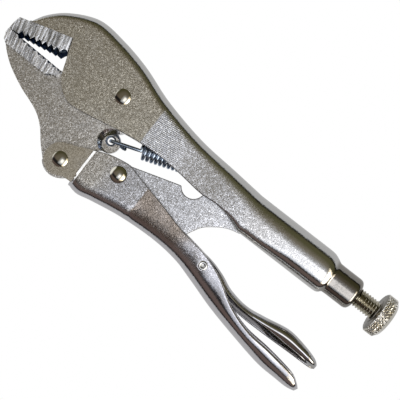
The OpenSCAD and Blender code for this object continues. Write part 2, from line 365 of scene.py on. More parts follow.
def stations_of(pairs, values_at):
    """A station for each pair of points, with the section values for its place and its depth."""
    return [(web, lip, values_at(0.5 * (web[0] + lip[0]), abs(lip[1] - web[1]))) for web, lip in pairs]


# ---- Fixed handle ----


def handle_values(x):
    """The section of the fixed handle at a place along the screw."""
    tube_share = np.interp(x, [30, 66], [0, 1])
    tube_share = tube_share * tube_share * (3 - 2 * tube_share)
    half = HEAD_HALF + (TUBE_HALF - HEAD_HALF) * tube_share
    open_gap = half - HANDLE_WALL
    gap = np.interp(x, [56, 66, 76, 92, 106, 108], [open_gap, 3.8, 3.7, 1.2, 1.2, 0.3])
    return {
        "half": half,
        "wall": HANDLE_WALL,
        "web_d": np.interp(x, [-46, -30, 40, 70], [3.0, 4.6, 5.4, 8.4]),
        "web_r": np.interp(x, [-46, -30, 40, 70], [4.0, 5.6, 6.2, TUBE_HALF]),
        "lip_r": np.interp(x, [-25, -15, 40, 56, 68, 90], [0.15, 0.4, 0.4, 0.8, 4.0, TUBE_HALF]),
        "gap": gap,
    }


def fixed_handle():
    """One pressing from the head to the neck, with the spring's tongue inside."""
    spine = curve([(-45.9, 1.6), (-43.3, 6.8), (-36.5, 13.3), (-25.5, 18.3), (-13, 17.5), (0, 14.7),
                   (15, 9.6), (34, 5.6), (52, 4.1), (66, 2.9)])
    front = curve([(-28.9, 6), (-27.3, 1), (-26, -2.2), (-22.9, -9.5), (-17, -14.4), (-10, -14.5), (0, -12.6),
                   (12, -10.4), (24, -9.5), (34, -9.9), (46, -11.1), (54, -10.7), (60.5, -11.8), (66, -14)])
    belly = np.concatenate([[(-45.4, 1.35)], front])
    pairs = paired(spine, belly, [-45.6, -25.5, -13, 0, 34, 66], [-45.2, -28.9, -17, -3, 34, 66], 1.4)
    stations = [(web, lip, handle_values(0.5 * (web[0] + lip[0]))) for web, lip in pairs]
    # The tube, its shoulder and the neck: x, top, bottom, half width
    ends = [(x, 2.9, -14, TUBE_HALF) for x in (69, 72, 75, 78, 81, 84, 87, 90, 94, 98, 100)]
    ends += [(101.5, 2.85, -14, 7.74), (102.8, 2.65, -14, 7.68), (103.8, 2.3, -13.95, 7.5),
             (104.6, 1.95, -13.85, 7.3), (105.3, 1.6, -13.55, 7.0), (105.8, 1.35, -13.1, 6.75),
             (106.2, 1.15, -12.6, 6.52), (106.8, 1.0, -12.3, 6.42), (108.5, 0.95, -12.2, 6.4),
             (116.4, 0.95, -12.2, 6.4), (117.2, 0.8, -12.05, 6.25), (117.8, 0.45, -11.7, 5.9),
             (118.25, -0.1, -11.15, 5.4), (118.55, -0.7, -10.55, 4.85), (118.7, -1.2, -10.05, 4.4)]
    for x, top, bottom, half in ends:
        values = handle_values(x)
        values.update(half=half, web_r=half - 0.05, web_d=0.5 * (top - bottom) - 0.02,
                      lip_r=min(values["lip_r"], half - 0.05))
        values["wall"] = np.interp(x, [105, 107, 116.4, 118.7], [HANDLE_WALL, 2.45, 2.4, 0.35])
        stations.append(((x, top), (x, bottom), values))
    bm = bmesh.new()
    channel(bm, stations)
    piece = new_piece("fixed_handle_shell", bm, 32.0)
    tongue = slab("tongue", [(43.2, -4.8), (47.6, -4.8), (47.6, 3.0), (43.2, 3.0)], 1)
    combine(piece, [pin("bore", TONGUE_HOLE, TONGUE_HOLE_R, 3), bore(MAIN_AT, SHANK_R)], "DIFFERENCE")
    combine(tongue, [pin("bore", TONGUE_HOLE, TONGUE_HOLE_R, 3)], "DIFFERENCE")
    combine(piece, [tongue], "UNION")
    return flat_faces(piece, 32.0)


# ---- Jaws ----


def fixed_jaw():
    """The upper jaw: its teeth are chamfered, so they stand lower in the middle than at the sides."""
    at_side, inside = (FIXED_TIP_Y, 14.4), (-5.93, 9.8)
    rings = []
    for z, (tip_y, angle) in ((-TOOTH_HALF, at_side), (-4.8, inside), (4.8, inside), (TOOTH_HALF, at_side)):
        outline = np.concatenate([[(-50.2, 0), (-46.3, 1.05), (-46.2, 1.5), (-29.3, 6.1), (-27.7, 0.8)],
                                  teeth((FIRST_TOOTH_X, tip_y), angle, 8, TOOTH_DEPTH)[::-1],
                                  [(-49.6, -5.88), (-51, -5.85), (-50.9, -3)]])
        rings.append([(x, y, z) for x, y in outline])
    bm = bmesh.new()
    skin(bm, rings)
    piece = new_piece("fixed_jaw_block", bm)
    tang = [(-44.5, 1.5), (-41, 6.5), (-34, 12), (-26, 13.5), (-21.5, 9), (-21.5, 1.2), (-27.3, 0.8),
            (-29, 1.5)]
    combine(piece, [slab("tang", tang, HEAD_HALF - HANDLE_WALL)], "UNION")
    # The sides slope down to the block's rear end
    slopes = []
    for way in (1, -1):
        bm = bmesh.new()
        foot = [(-30.5, 6.6, TOOTH_HALF), (-28.8, -0.8, TOOTH_HALF), (-27.3, -0.8, 5.2), (-29, 6.6, 5.2)]
        skin(bm, [[(x, y, way * z) for x, y, z in foot], [(x, y, way * BEYOND) for x, y, z in foot]])
        slopes.append(new_piece("slope", bm))
    combine(piece, slopes, "DIFFERENCE")
    return soften(piece, 0.22, 2)


def moving_jaw():
    """One forging: a thin plate with the toothed block, and a milled lug that holds the spring."""
    chin = curve([(-49.9, -10.2), (-46.8, -13.4), (-41.7, -17.2), (-33.8, -21.1), (-24.4, -24.6),
                  (-19, -28.4), (-14.5, -33.6), (-10.2, -37.9)])
    crown = curve([(8.2, -11.5), (8.4, -1), (5, 6), (-2, 8.2), (-9, 5.5), (-17, -1.5), (-25.5, -8.2)])
    plate = np.concatenate([chin, arc(LEVER_AT, 7.4, 218, 372, 24), [(2.6, -24.2), (4.3, -22.6)],
                            arc((6.1, -17), 4.4, -92, 78, 24), crown, [(-49.9, -8.6)]])
    block = np.concatenate([teeth((FIRST_TOOTH_X, MOVING_TIP_Y), -2, 9, -0.6 * TOOTH_DEPTH),
                            [(-25.2, -6.6), (-25.2, -9.6), (-27.4, -9.9), (-29.4, -11.5), (-48.6, -11.3),
                             (-50.2, -10.2), (-51.1, -7.6), (-51.1, -6), (-49.6, MOVING_TIP_Y)]])
    piece = slab("moving_jaw_forging", plate, JAW_HALF)
    combine(piece, [slab("block", block, TOOTH_HALF)], "UNION")
    # Ball-milled pockets thin the lug from both sides, and the spring's hole is countersunk
    cutters = []
    for way in (1, -1):
        bm = bmesh.new()
        bottom, rim = circle((7.1, -17.3), 3.5, 60), circle((6.4, -16.6), 5.1, 60)
        rings = [(bottom, LUG_HALF), (rim, JAW_HALF + 0.02), (rim, BEYOND)]
        skin(bm, [[(x, y, way * z) for x, y in ring] for ring, z in rings])
        cutters.append(new_piece("pocket", bm))
        bm = bmesh.new()
        rings = [(LUG_HOLE_R, 0.7), (2.15, LUG_HALF + 0.02), (2.15, 3)]
        skin(bm, [[(x, y, way * z) for x, y in circle(LUG_HOLE, r, 36)] for r, z in rings])
        cutters.append(new_piece("countersink", bm))
    cutters += [bore(at, SHANK_R + RUNNING_GAP) for at in (MAIN_AT, LEVER_AT)]
    cutters.append(bore(LUG_HOLE, LUG_HOLE_R, 36))
    combine(piece, cutters, "DIFFERENCE")
    return soften(piece, 0.3, 2)


# ---- Lever handle, link and release lever ----


def lever_values(x, length):
    """The section of the lever handle at a place along the screw."""
    half = np.interp(x, [98, 110, 117, 120.5, 121.9, 122.4],
                     [LEVER_HALF, LEVER_HALF - 1, 4.4, 3.3, 2.2, 0.8])
    wall = np.interp(x, [100, 121, 122.4], [LEVER_WALL, 1.2, 0.3])
    return {
        "half": half,
        "wall": wall,
        "web_d": np.interp(x, [5, 28.6, 29.6, 58, 66, 76], [6.0, 6.4, 9.5, 10, 7.6, 0.84 * length]),
        "web_r": min(half - 0.02, np.interp(x, [5, 40, 75, 100], [5.0, 5.4, 6.3, 6.45])),
        "lip_r": np.interp(x, [60, 95, 115], [0.4, 1.0, 1.3]),
        "gap": half - wall,
    }


def lever_handle():
    """One pressing: the channel, its joggle and the two ears that clasp the jaw."""
    web = curve([(3.5, -39.8), (8.2, -40.7), (14.4, -39.4), (27.4, -37.3), (42, -36.5), (54, -37.5),
                 (64, -40.2), (76.5, -44), (90, -47.1), (104, -49.8), (113, -50.2), (118.3, -50.3),
                 (122, -49.6)])
    lip = curve([(3.1, -23.4), (10, -20.5), (18.3, -19.2), (24.3, -20.6), (36, -23.2), (49, -26.5),
                 (62, -28.6), (71.4, -31.8), (82, -37.9), (93, -41.5), (104.7, -42.5), (117, -44.3),
                 (120.5, -46), (122.8, -47.9)])
    pairs = paired(web, lip, [4.9, 18, 64, 90, 113, 121.95], [4.9, 18, 64, 90, 114, 122.75], 1.5)
    stations = stations_of(pairs, lever_values)
    # The joggle: the channel's front end steps in to the ears
    first_web, _, first = stations[0]
    for x, half in ((4.75, LEVER_HALF - 0.06), (3.8, EAR_HALF + 0.07), (3.55, EAR_HALF)):
        values = dict(first, half=half, gap=half - LEVER_WALL)
        stations.insert(0, ((x, first_web[1] + 0.15), (x, graph(lip, x)), values))
    bm = bmesh.new()
    channel(bm, stations)
    piece = new_piece("lever_handle_channel", bm, 32.0)
    ear_top = curve([(3.1, -23.4), (-1.7, -25.6), (-4.1, -26.6), (-6.18, -27.42)], 4)
    ear = np.concatenate([[(4.2, -22.95)], ear_top[:-1], arc(LEVER_AT, 6.5, 105, 285, 24),
                          [(0.5, -38.4), (4.2, -38.2)]])
    ears = [prism("ear", ear, low, low + LEVER_WALL) for low in (EAR_HALF - LEVER_WALL, -EAR_HALF)]
    combine(piece, ears, "UNION")
    cutters = [bore(LEVER_AT, SHANK_R), bore(LINK_AT, SHANK_R), bore(RELEASE_AT, RELEASE_BORE_R, 32)]
    for at, head_r in ((LINK_AT, LINK_HEAD_R), (RELEASE_AT, RELEASE_RIM_R)):
        seat = circle(at, head_r + 0.22, 48)
        cutters.append(prism("seat", seat, LEVER_HALF - SEAT_DEPTH, BEYOND))
        cutters.append(prism("seat", seat, -BEYOND, SEAT_DEPTH - LEVER_HALF))
    combine(piece, cutters, "DIFFERENCE")
    return flat_faces(piece, 32.0)


def toggle_link():
    """The solid strut, with its notch and a round nose that meets the screw."""
    top = curve([(18.5, -19.3), (26.3, -16.9), (36.5, -13.8)], 4)
    low = curve([(67.9, -14.2), (62.1, -15.9), (55.7, -20.4), (53.2, -24), (51.7, -27.1)], 6)
    outline = np.concatenate([arc(LINK_AT, 5.6, 120, 285, 24), [(30, -28.6), (44, -27.9), (50, -27.7)],
                              low[::-1], arc(LINK_TAIL, LINK_NOSE_R, 250, 470, 20),
                              [(60, -5.2), (47.5, -10.9)], arc((42.6, -10.7), 4.7, -15, -148, 20),
                              top[::-1]])
    piece = slab("toggle_link_strut", outline, LINK_HALF)
    combine(piece, [bore(LINK_AT, SHANK_R + RUNNING_GAP)], "DIFFERENCE")
    return soften(piece, 1.2, 5)


def release_values(x, length):
    """The section of the release lever at a place along the screw: past the rivet it is ridged."""
    half = np.interp(x, [104, 114, 119, 121.6, 122.8, 123.2], [RELEASE_HALF, 3.8, 3.3, 2.5, 1.6, 0.6])
    ridged = np.interp(x, [62, 76], [0, 1])
    return {
        "half": half,
        "wall": np.interp(x, [108, 121, 123.2], [RELEASE_WALL, 0.8, 0.2]),
        "web_d": np.interp(x, [55, 76], [2.0, 0.42 * length]),
        "web_r": half * (0.6 + 0.38 * ridged),
        "lip_r": 0.5,
        "gap": (half - 1.2) * (1 - 0.75 * ridged),
        "drop": 0.60 * half * ridged,
    }


def release_lever():
    """The small channel between the lever's sides, ridged along its open tail."""
    web = curve([(49.2, -30.2), (54, -28.2), (64.6, -28.7), (72.4, -30.7), (79, -33.4), (87.5, -34.7),
                 (96, -33.6), (106, -31.8), (114, -32.7), (120.8, -34.5), (123.2, -36.2)])
    lip = curve([(50, -32.6), (58, -34.2), (68, -35.6), (76, -37.6), (86, -39.2), (97, -39.4),
                 (111, -39), (121, -38.8), (123.2, -38)])
    pairs = paired(web, lip, [49.4, 64, 87, 106, 123.15], [49.8, 64, 87, 106, 123.15], 1.3)
    bm = bmesh.new()
    channel(bm, stations_of(pairs, release_values))
    piece = new_piece("release_lever_channel", bm, 38.0)
    combine(piece, [bore(RELEASE_AT, RELEASE_BORE_R + RUNNING_GAP, 32)], "DIFFERENCE")
    shade(piece, 38.0)
    return piece


# ---- Rivets ----


def rivet(name, at, head_r, half, rise, sunk=0.0):
    """A rivet with a domed head on each side and a small edge under each dome. sunk is the edge's depth."""
    edge = 0.12
    dome_r = (head_r**2 + (rise - edge) ** 2) / (2 * (rise - edge))
    angles = np.linspace(math.asin(min(head_r / dome_r, 1)), 0.02, 14)
    dome = [(dome_r * math.sin(a), half + rise - dome_r + dome_r * math.cos(a)) for a in angles]
    upper = [(SHANK_R, 0.0), (SHANK_R, half - sunk), (head_r, half - sunk), (head_r, half + edge * 0.5)]
    upper += dome
    lower = [(r, -z) for r, z in upper[1:]][::-1]
    bm = bmesh.new()
    skin(bm, [[(x, y, z) for x, y in circle(at, r, 56)] for r, z in lower + upper])
    return new_piece(name, bm, 50.0)


def release_rivet():
    """A tubular rivet: a rolled rim on each side and a hole through it."""
    hole_r, rise, seat_z = 0.65, 0.42, LEVER_HALF - SEAT_DEPTH
    roll_r = 0.5 * (RELEASE_RIM_R - hole_r)
    roll = arc((hole_r + roll_r, 0), roll_r, 180, 0, 10) * (1, rise / roll_r) + (0, LEVER_HALF)
    half_loop = [(hole_r, 0.0)] + [tuple(p) for p in roll]
    half_loop += [(RELEASE_RIM_R, seat_z), (RELEASE_BORE_R, seat_z), (RELEASE_BORE_R, 0.0)]
    mirrored = [(r, -z) for r, z in half_loop[1:-1]][::-1]
    bm = bmesh.new()
    rings = []
    for turn in np.linspace(0, 2 * math.pi, 40, endpoint=False):
        c, s = math.cos(turn), math.sin(turn)
        rings.append([(RELEASE_AT[0] + r * c, RELEASE_AT[1] + r * s, z) for r, z in half_loop + mirrored])
    skin(bm, rings, looped=True)
    return new_piece("release_rivet_tube", bm, 50.0)


# ---- Screw and knob ----


def adjusting_screw():
    """A rod with a real right-handed thread, 1.25 mm a turn, and a blunt tip."""
    tip_r, sides = 2.4, 30
    turns = np.arange(sides) / sides
    rings = [turned(SCREW_TIP_X, [(tip_r, 2 * math.pi * turn) for turn in turns])]
    for x in np.arange(SCREW_TIP_X + 1.2, KNOB_X + 0.3, THREAD_PITCH / 8):
        phase = (x / THREAD_PITCH - turns) % 1.0
        groove = np.clip(np.abs(phase - 0.5) * 2.4 - 0.1, 0.0, 1.0)
        rings.append(turned(x, zip(SCREW_R - THREAD_DEPTH * groove, 2 * math.pi * turns)))
    bm = bmesh.new()
    skin(bm, rings)
    return new_piece("adjusting_screw_rod", bm, 60.0)


def adjusting_knob():
    """A turned knob with a diamond knurl cut into its rim."""
    knurls, depth, sides = 32, 0.6, 320
    rim_low, rim_high = KNOB_X + 1.2, KNOB_X + 4.8
    lead = 1.15 * knurls / (2 * math.pi * KNOB_R)
    turns = np.arange(sides) / sides
    profile = [(SCREW_R - 0.3, KNOB_X, 0), (SCREW_R + 1.3, KNOB_X, 0), (SCREW_R + 1.5, KNOB_X + 0.3, 0),
               (KNOB_R - 0.9, KNOB_X + 0.5, 0), (KNOB_R - 0.45, KNOB_X + 0.8, 0)]
    profile += [(KNOB_R, x, 1) for x in np.linspace(rim_low, rim_high, 24)]
    profile += [(KNOB_R - 0.12, KNOB_X + 4.9, 0), (KNOB_R - 1.75, TOOL_END_X - 0.08, 0),
                (KNOB_R - 1.95, TOOL_END_X, 0), (KNOB_R - 3.5, TOOL_END_X, 0), (0.2, TOOL_END_X, 0)]
    rings = []
    for radius, x, knurled in profile:
        cuts = [np.abs((knurls * turns + way * lead * (x - rim_low)) % 1.0 - 0.5) * 2 for way in (1, -1)]
        radii = radius - knurled * depth * np.maximum(*cuts) ** 1.4
        rings.append(turned(x, zip(radii, 2 * math.pi * turns)))
    bm = bmesh.new()
    skin(bm, rings)
    return new_piece("adjusting_knob_knurled", bm, 30.0)


# ---- Spring ----


def jaw_spring():
    """A wound tension spring with a hook through the jaw's lug and one through the handle's tongue."""
    wire, coil, end_coil, pitch = 0.72, 2.72, 2.2, 1.70
    start, run = Vector((*LUG_HOLE, 0)), Vector((*TONGUE_HOLE, 0)) - Vector((*LUG_HOLE, 0))
    length, ahead = run.length, run.normalized()
    side, up = Vector((-ahead.y, ahead.x, 0)), Vector((0, 0, 1))
    coil_from, coil_to = 12.4, 33.6

    def hook(height, reach, back):
        """Half of the spring's end: back behind the plate, through its hole and out in front."""
        bend = 0.7
        low = [(reach, -1.25, 0.4), (reach - 0.7, -1.2, -0.3), (reach - 1.6, -0.9, -height * 0.75),
               (reach - 2.7, -0.3, -height), (bend, 0, -height)]
        turns = [(bend * math.sin(a), bend * math.cos(a)) for a in (0.4, 0.8, 1.2)]
        turn_in = [(bend - s, 0, bend - height - c) for s, c in turns]
        turn_out = [(bend - c, 0, height - bend + s) for s, c in turns]
        front = [(x, 0, height) for x in np.linspace(bend, back, 8)]
        return low + turn_in + [(0, 0, 0)] + turn_out + front

    front_hook = hook(LUG_HALF + wire + 0.1, 6.2, coil_from - 1.4)
    rear_hook = hook(1 + wire + 0.1, 4.6, length - coil_to - 1.4)
    turns = round((coil_to - coil_from) / pitch)
    helix = []
    count = turns * 18
    for k in range(count + 1):
        share = k / count
        ease = min(1.0, 4 * share * turns, 4 * (1 - share) * turns)
        radius = end_coil + (coil - end_coil) * ease
        angle = 2 * math.pi * share * turns
        x = coil_from + (coil_to - coil_from) * share
        helix.append((x, radius * math.sin(angle), radius * math.cos(angle)))
    local = front_hook + helix + [(length - x, y, z) for x, y, z in reversed(rear_hook)]
    path = [start + ahead * x + side * y + up * z for x, y, z in local]
    bm = bmesh.new()
    tube(bm, path, wire)
    return new_piece("jaw_spring_coil", bm, 60.0)


# ---- Materials ----


def emptied(owner, output):
    """The owner's node tree with nothing but an output, and that output's surface socket."""
    owner.use_nodes = True
    tree = owner.node_tree
    tree.nodes.clear()
    return tree, tree.nodes.new(output).inputs["Surface"]


def nodes_for(name):
    """A new material with a metal shader, ready for its textures."""
    material = bpy.data.materials.new(name)
    tree, surface = emptied(material, "ShaderNodeOutputMaterial")
    shader = tree.nodes.new("ShaderNodeBsdfPrincipled")
    tree.links.new(shader.outputs["BSDF"], surface)
    shader.inputs["Metallic"].default_value = 1.0
    where = tree.nodes.new("ShaderNodeTexCoord").outputs["Object"]
    return material, tree, shader, where


def noise(tree, where, scale, detail=2.0, rough=0.5, stretch=None):
    """Noise with features 1 / scale metres across.

    stretch is the features' lengths along turned axes, and the turn in degrees."""
    node = tree.nodes.new("ShaderNodeTexNoise")
    node.inputs["Scale"].default_value = scale
    node.inputs["Detail"].default_value = detail
    node.inputs["Roughness"].default_value = rough
    if stretch:
        mapping = tree.nodes.new("ShaderNodeMapping")
        mapping.vector_type = "TEXTURE"
        mapping.inputs["Scale"].default_value = stretch[0]
        mapping.inputs["Rotation"].default_value = (0, 0, math.radians(stretch[1]))
        tree.links.new(where, mapping.inputs["Vector"])
        where = mapping.outputs["Vector"]
    tree.links.new(where, node.inputs["Vector"])
    return node.outputs["Fac"]


def spread(tree, value, low, high, to_low=0.0, to_high=1.0, smooth=True):
    """The value's range from low to high, mapped to another range."""
    node = tree.nodes.new("ShaderNodeMapRange")
    node.interpolation_type = "SMOOTHSTEP" if smooth else "LINEAR"
    tree.links.new(value, node.inputs["Value"])
    for socket, number in (("From Min", low), ("From Max", high), ("To Min", to_low), ("To Max", to_high)):
        node.inputs[socket].default_value = number
    return node.outputs["Result"]


def maths(tree, operation, a, b=0):
    """One operation on values that are numbers or sockets."""
    node = tree.nodes.new("ShaderNodeMath")
    node.operation = operation
    for socket, value in zip(node.inputs, (a, b)):
        if isinstance(value, (int, float)):
            socket.default_value = value
        else:
            tree.links.new(value, socket)
    return node.outputs["Value"]


def vector_maths(tree, operation, a, b=None):
    """One operation on vectors that are tuples or sockets."""
    node = tree.nodes.new("ShaderNodeVectorMath")
    node.operation = operation
    for socket, value in zip(node.inputs, (a, b)):
        if isinstance(value, tuple):
            socket.default_value = value
        elif value is not None:
            tree.links.new(value, socket)
    return node.outputs["Vector"]


def blend_colour(tree, share, a, b):
    """A mix of two colours, each a tuple or a socket."""
    node = tree.nodes.new("ShaderNodeMix")
    node.data_type = "RGBA"
    tree.links.new(share, node.inputs["Factor"])
    for name, value in (("A", a), ("B", b)):
        socket = next(s for s in node.inputs if s.name == name and s.type == "RGBA")
        if isinstance(value, tuple):
            socket.default_value = (*value, 1)
        else:
            tree.links.new(value, socket)
    return next(s for s in node.outputs if s.type == "RGBA")


def blend_vector(tree, share, a, b):
    """A mix of two vectors, as a unit vector."""
    node = tree.nodes.new("ShaderNodeMix")
    node.data_type = "VECTOR"
    tree.links.new(share, node.inputs["Factor"])
    for name, value in (("A", a), ("B", b)):
        tree.links.new(value, next(s for s in node.inputs if s.name == name and s.type == "VECTOR"))
    mixed = next(s for s in node.outputs if s.type == "VECTOR")
    return vector_maths(tree, "NORMALIZE", mixed)


def ridges(tree, where, spacing, turn):
    """Parallel ridges a spacing apart in metres, across an axis at an angle in degrees."""
    mapping = tree.nodes.new("ShaderNodeMapping")
    mapping.vector_type = "TEXTURE"
    mapping.inputs["Rotation"].default_value = (0, 0, math.radians(turn))
    tree.links.new(where, mapping.inputs["Vector"])
    wave = tree.nodes.new("ShaderNodeTexWave")
    wave.inputs["Scale"].default_value = 2 * math.pi / (20 * spacing)
    wave.inputs["Distortion"].default_value = 0.8
    wave.inputs["Detail"].default_value = 2.0
    wave.inputs["Detail Scale"].default_value = 4.0
    tree.links.new(mapping.outputs["Vector"], wave.inputs["Vector"])
    return wave.outputs["Fac"]


def bump(tree, shader, height, distance, shade_under_block=None):
    """Relief of a depth in metres, on the smooth normal or on another."""
    node = tree.nodes.new("ShaderNodeBump")
    node.inputs["Distance"].default_value = distance
    tree.links.new(height, node.inputs["Height"])
    if shade_under_block:
        tree.links.new(shade_under_block, node.inputs["Normal"])
    tree.links.new(node.outputs["Normal"], shader.inputs["Normal"])


def window(tree, value, start, full, fade, end):
    """1 from full to fade, and down to 0 at start and at end."""
    rise, fall = spread(tree, value, start, full), spread(tree, value, fade, end, 1.0, 0.0)
    return maths(tree, "MULTIPLY", rise, fall)


def parts_of(tree, vector):
    """A vector's x, y and z."""
    split = tree.nodes.new("ShaderNodeSeparateXYZ")
    tree.links.new(vector, split.inputs["Vector"])
    return [split.outputs[axis] for axis in "XYZ"]


def along_tool(tree, where):
    """How far a point lies along the screw, in metres from the main rivet."""
    return maths(tree, "SUBTRACT", parts_of(tree, where)[0], RIVET.x)


def facets_of(tree, where, scale, tilt):
    """The grains of a blasted surface: a random value for each, and a normal that is tilted a little."""
    cells = tree.nodes.new("ShaderNodeTexVoronoi")
    cells.inputs["Scale"].default_value = scale
    tree.links.new(where, cells.inputs["Vector"])
    split = tree.nodes.new("ShaderNodeSeparateColor")
    tree.links.new(cells.outputs["Color"], split.inputs["Color"])
    lean = vector_maths(tree, "SUBTRACT", cells.outputs["Color"], (0.5, 0.5, 0.5))
    lean = vector_maths(tree, "MULTIPLY", lean, (tilt, tilt, tilt))
    normal = vector_maths(tree, "ADD", tree.nodes.new("ShaderNodeNewGeometry").outputs["Normal"], lean)
    return split.outputs["Red"], vector_maths(tree, "NORMALIZE", normal)


def scaled(colour, factor):
    """A darker or lighter colour."""
    return tuple(c * factor for c in colour)


def plated(name, tone, bright, zones=(), lines=None, polish=None, neck=None, contrast=1.0, tilt=0.12):
    """Satin nickel plate over blasted steel: grain with painted glints on the flats and smooth round edges.

    tone is the tone at the jaws' end. Each of the zones is (start, end, tone): the place along the tool, in
    metres from the main rivet, where the tone changes to another; where a zone brightens the plate towards
    the knob, it is partly a different finish and partly painted reflection of the overhead window. lines is
    (start, end) of a rolled stretch with fine parallel lines. polish is (start, end, share): where the grain
    dies out, and how much of it is left. neck is one more zone, over the polish too."""
    material, tree, shader, where = nodes_for(name)
    grain_scale = 2500.0
    fine = noise(tree, where, grain_scale, 2.0, 0.65)
    patches = noise(tree, where, 120.0, 3.0, 0.55)
    uneven = maths(tree, "SUBTRACT", patches, 0.5)
    facets, normal = facets_of(tree, where, grain_scale, tilt)
    speckle = spread(tree, fine, 0.38, 0.62)
    # Painted glints: the brightest grains are given a lighter colour.
    painted_glint = spread(tree, facets, 0.74, 1.0, 0.0, 0.5)
    along = along_tool(tree, where)

    def grained(colour, share):
        """A tone with the plate's grain and painted glints in it: share is their strength."""
        base = blend_colour(tree, speckle, scaled(colour, 1 - 0.27 * share), scaled(colour, 1 + 0.02 * share))
        return blend_colour(tree, painted_glint, base, scaled(colour, 1 + 0.42 * share))

    tone = grained(tone, contrast)
    for start, end, colour in zones:
        ragged = maths(tree, "MULTIPLY", uneven, 0.5 * (end - start))
        step = spread(tree, maths(tree, "ADD", along, ragged), start, end)
        tone = blend_colour(tree, step, tone, grained(colour, 1.0))
    tone = blend_colour(tree, spread(tree, patches, 0.40, 0.80, 0.0, 0.2), tone, bright)
    height = fine
    if lines:
        start, end = lines
        rolled = ridges(tree, where, 0.00066, -24)
        here = window(tree, along, start, start + 0.0006, start + 0.008, end)
        groove = maths(tree, "MULTIPLY", spread(tree, rolled, 0.05, 0.55, 1.0, 0.0), here)
        tone = blend_colour(tree, maths(tree, "MULTIPLY", groove, 0.30), tone, scaled(bright, 0.40))
        height = maths(tree, "SUBTRACT", fine, maths(tree, "MULTIPLY", groove, 0.5))
    # Round edges are rubbed smooth
    facing = parts_of(tree, tree.nodes.new("ShaderNodeTexCoord").outputs["Normal"])[2]
    rubbed = spread(tree, maths(tree, "ABSOLUTE", facing), 0.80, 0.97, 1.0, 0.0)
    rubbed_tone, grain_left = COOL, 0.25
    if polish:
        start, end, grain_left = polish
        worn = maths(tree, "ADD", along, maths(tree, "MULTIPLY", uneven, 0.03))
        rubbed = maths(tree, "MAXIMUM", rubbed, spread(tree, worn, start, end))
        rubbed_tone = bright
    tone = blend_colour(tree, rubbed, tone, rubbed_tone)
    if neck:
        start, end, neck_tone = neck
        tone = blend_colour(tree, spread(tree, along, start, end), tone, neck_tone)
    tree.links.new(tone, shader.inputs["Base Color"])
    rough = spread(tree, fine, 0.3, 0.7, 0.22, 0.36)
    smooth = spread(tree, patches, 0.3, 0.7, 0.07, 0.13)
    less = maths(tree, "MULTIPLY", rubbed, maths(tree, "SUBTRACT", smooth, rough))
    tree.links.new(maths(tree, "ADD", rough, less), shader.inputs["Roughness"])
    height = maths(tree, "MULTIPLY", height, spread(tree, rubbed, 0, 1, 1.0, grain_left, False))
    plain = tree.nodes.new("ShaderNodeNewGeometry").outputs["Normal"]
    flatter = maths(tree, "MULTIPLY", rubbed, 1.05 - grain_left)
    bump(tree, shader, height, 0.00006 * contrast, blend_vector(tree, flatter, normal, plain))
    return material


def smooth_plate(name, dull, bright, rough=(0.10, 0.2)):
    """Bright plate over smooth pressed steel, with faint waves and a few specks."""
    material, tree, shader, where = nodes_for(name)
    waves = noise(tree, where, 180.0, 2.0, 0.4)
    specks = noise(tree, where, 1500.0, 2.0, 0.6)
    tone = blend_colour(tree, spread(tree, waves, 0.3, 0.7), dull, bright)
    tree.links.new(tone, shader.inputs["Base Color"])
    tree.links.new(spread(tree, specks, 0.35, 0.75, rough[0], rough[1]), shader.inputs["Roughness"])
    height = maths(tree, "ADD", waves, maths(tree, "MULTIPLY", specks, 0.02))
    bump(tree, shader, height, 0.00008)
    return material


def ground_teeth(name, dull, bright):
    """Plated forging whose sides carry coarse grinding lines across the teeth."""
    material, tree, shader, where = nodes_for(name)
    lines = noise(tree, where, 1100.0, 3.0, 0.6, ((1, 9, 9), 13))
    fine = noise(tree, where, 1900.0, 2.0, 0.6)
    tone = blend_colour(tree, spread(tree, lines, 0.38, 0.60), dull, bright)
    tree.links.new(tone, shader.inputs["Base Color"])
    tree.links.new(spread(tree, fine, 0.3, 0.7, 0.22, 0.4), shader.inputs["Roughness"])
    height = maths(tree, "ADD", maths(tree, "MULTIPLY", lines, 2.0), maths(tree, "MULTIPLY", fine, 0.6))
    bump(tree, shader, height, 0.00012)
    return material


PAINTED_GLINT_PITCH = 0.0031


def painted_tooth_shade(name):
    """Painted shade for the tooth faces and for the corner under the moving jaw's block: near-black steel,
    with stripes of painted glints across the tool.
    """
    material, tree, shader, where = nodes_for(name)
    tint = noise(tree, where, 900.0, 2.0, 0.6)
    tone = blend_colour(tree, spread(tree, tint, 0.35, 0.7), (0.010, 0.014, 0.024), (0.035, 0.050, 0.075))
    # Painted glints: bright blue-grey stripes at a fixed pitch across the tool.
    wave = maths(tree, "SINE", maths(tree, "MULTIPLY", parts_of(tree, where)[2], 2 * math.pi / PAINTED_GLINT_PITCH))
    tone = blend_colour(tree, spread(tree, wave, 0.5, 1.0), tone, (0.10, 0.17, 0.24))
    shader.inputs["Specular Tint"].default_value = (0.10, 0.15, 0.22, 1)
    tree.links.new(tone, shader.inputs["Base Color"])
    tree.links.new(spread(tree, tint, 0.3, 0.7, 0.25, 0.45), shader.inputs["Roughness"])
    bump(tree, shader, tint, 0.00006)
    return material


def blued(name):
    """Dark blued spring wire with a blotchy tint and fine variation in roughness."""
    material, tree, shader, where = nodes_for(name)
    tint = noise(tree, where, 600.0, 2.0, 0.5)
    fine = noise(tree, where, 2600.0, 2.0, 0.6)
    tone = blend_colour(tree, spread(tree, tint, 0.3, 0.7), (0.28, 0.34, 0.44), (0.42, 0.50, 0.62))
    tree.links.new(tone, shader.inputs["Base Color"])
    tree.links.new(spread(tree, fine, 0.3, 0.7, 0.20, 0.30), shader.inputs["Roughness"])
    bump(tree, shader, fine, 0.00001)
    return material


OLIVE, WARM, COOL, WHITE = (0.50, 0.47, 0.40), (0.54, 0.52, 0.48), (0.62, 0.63, 0.66), (0.74, 0.75, 0.78)


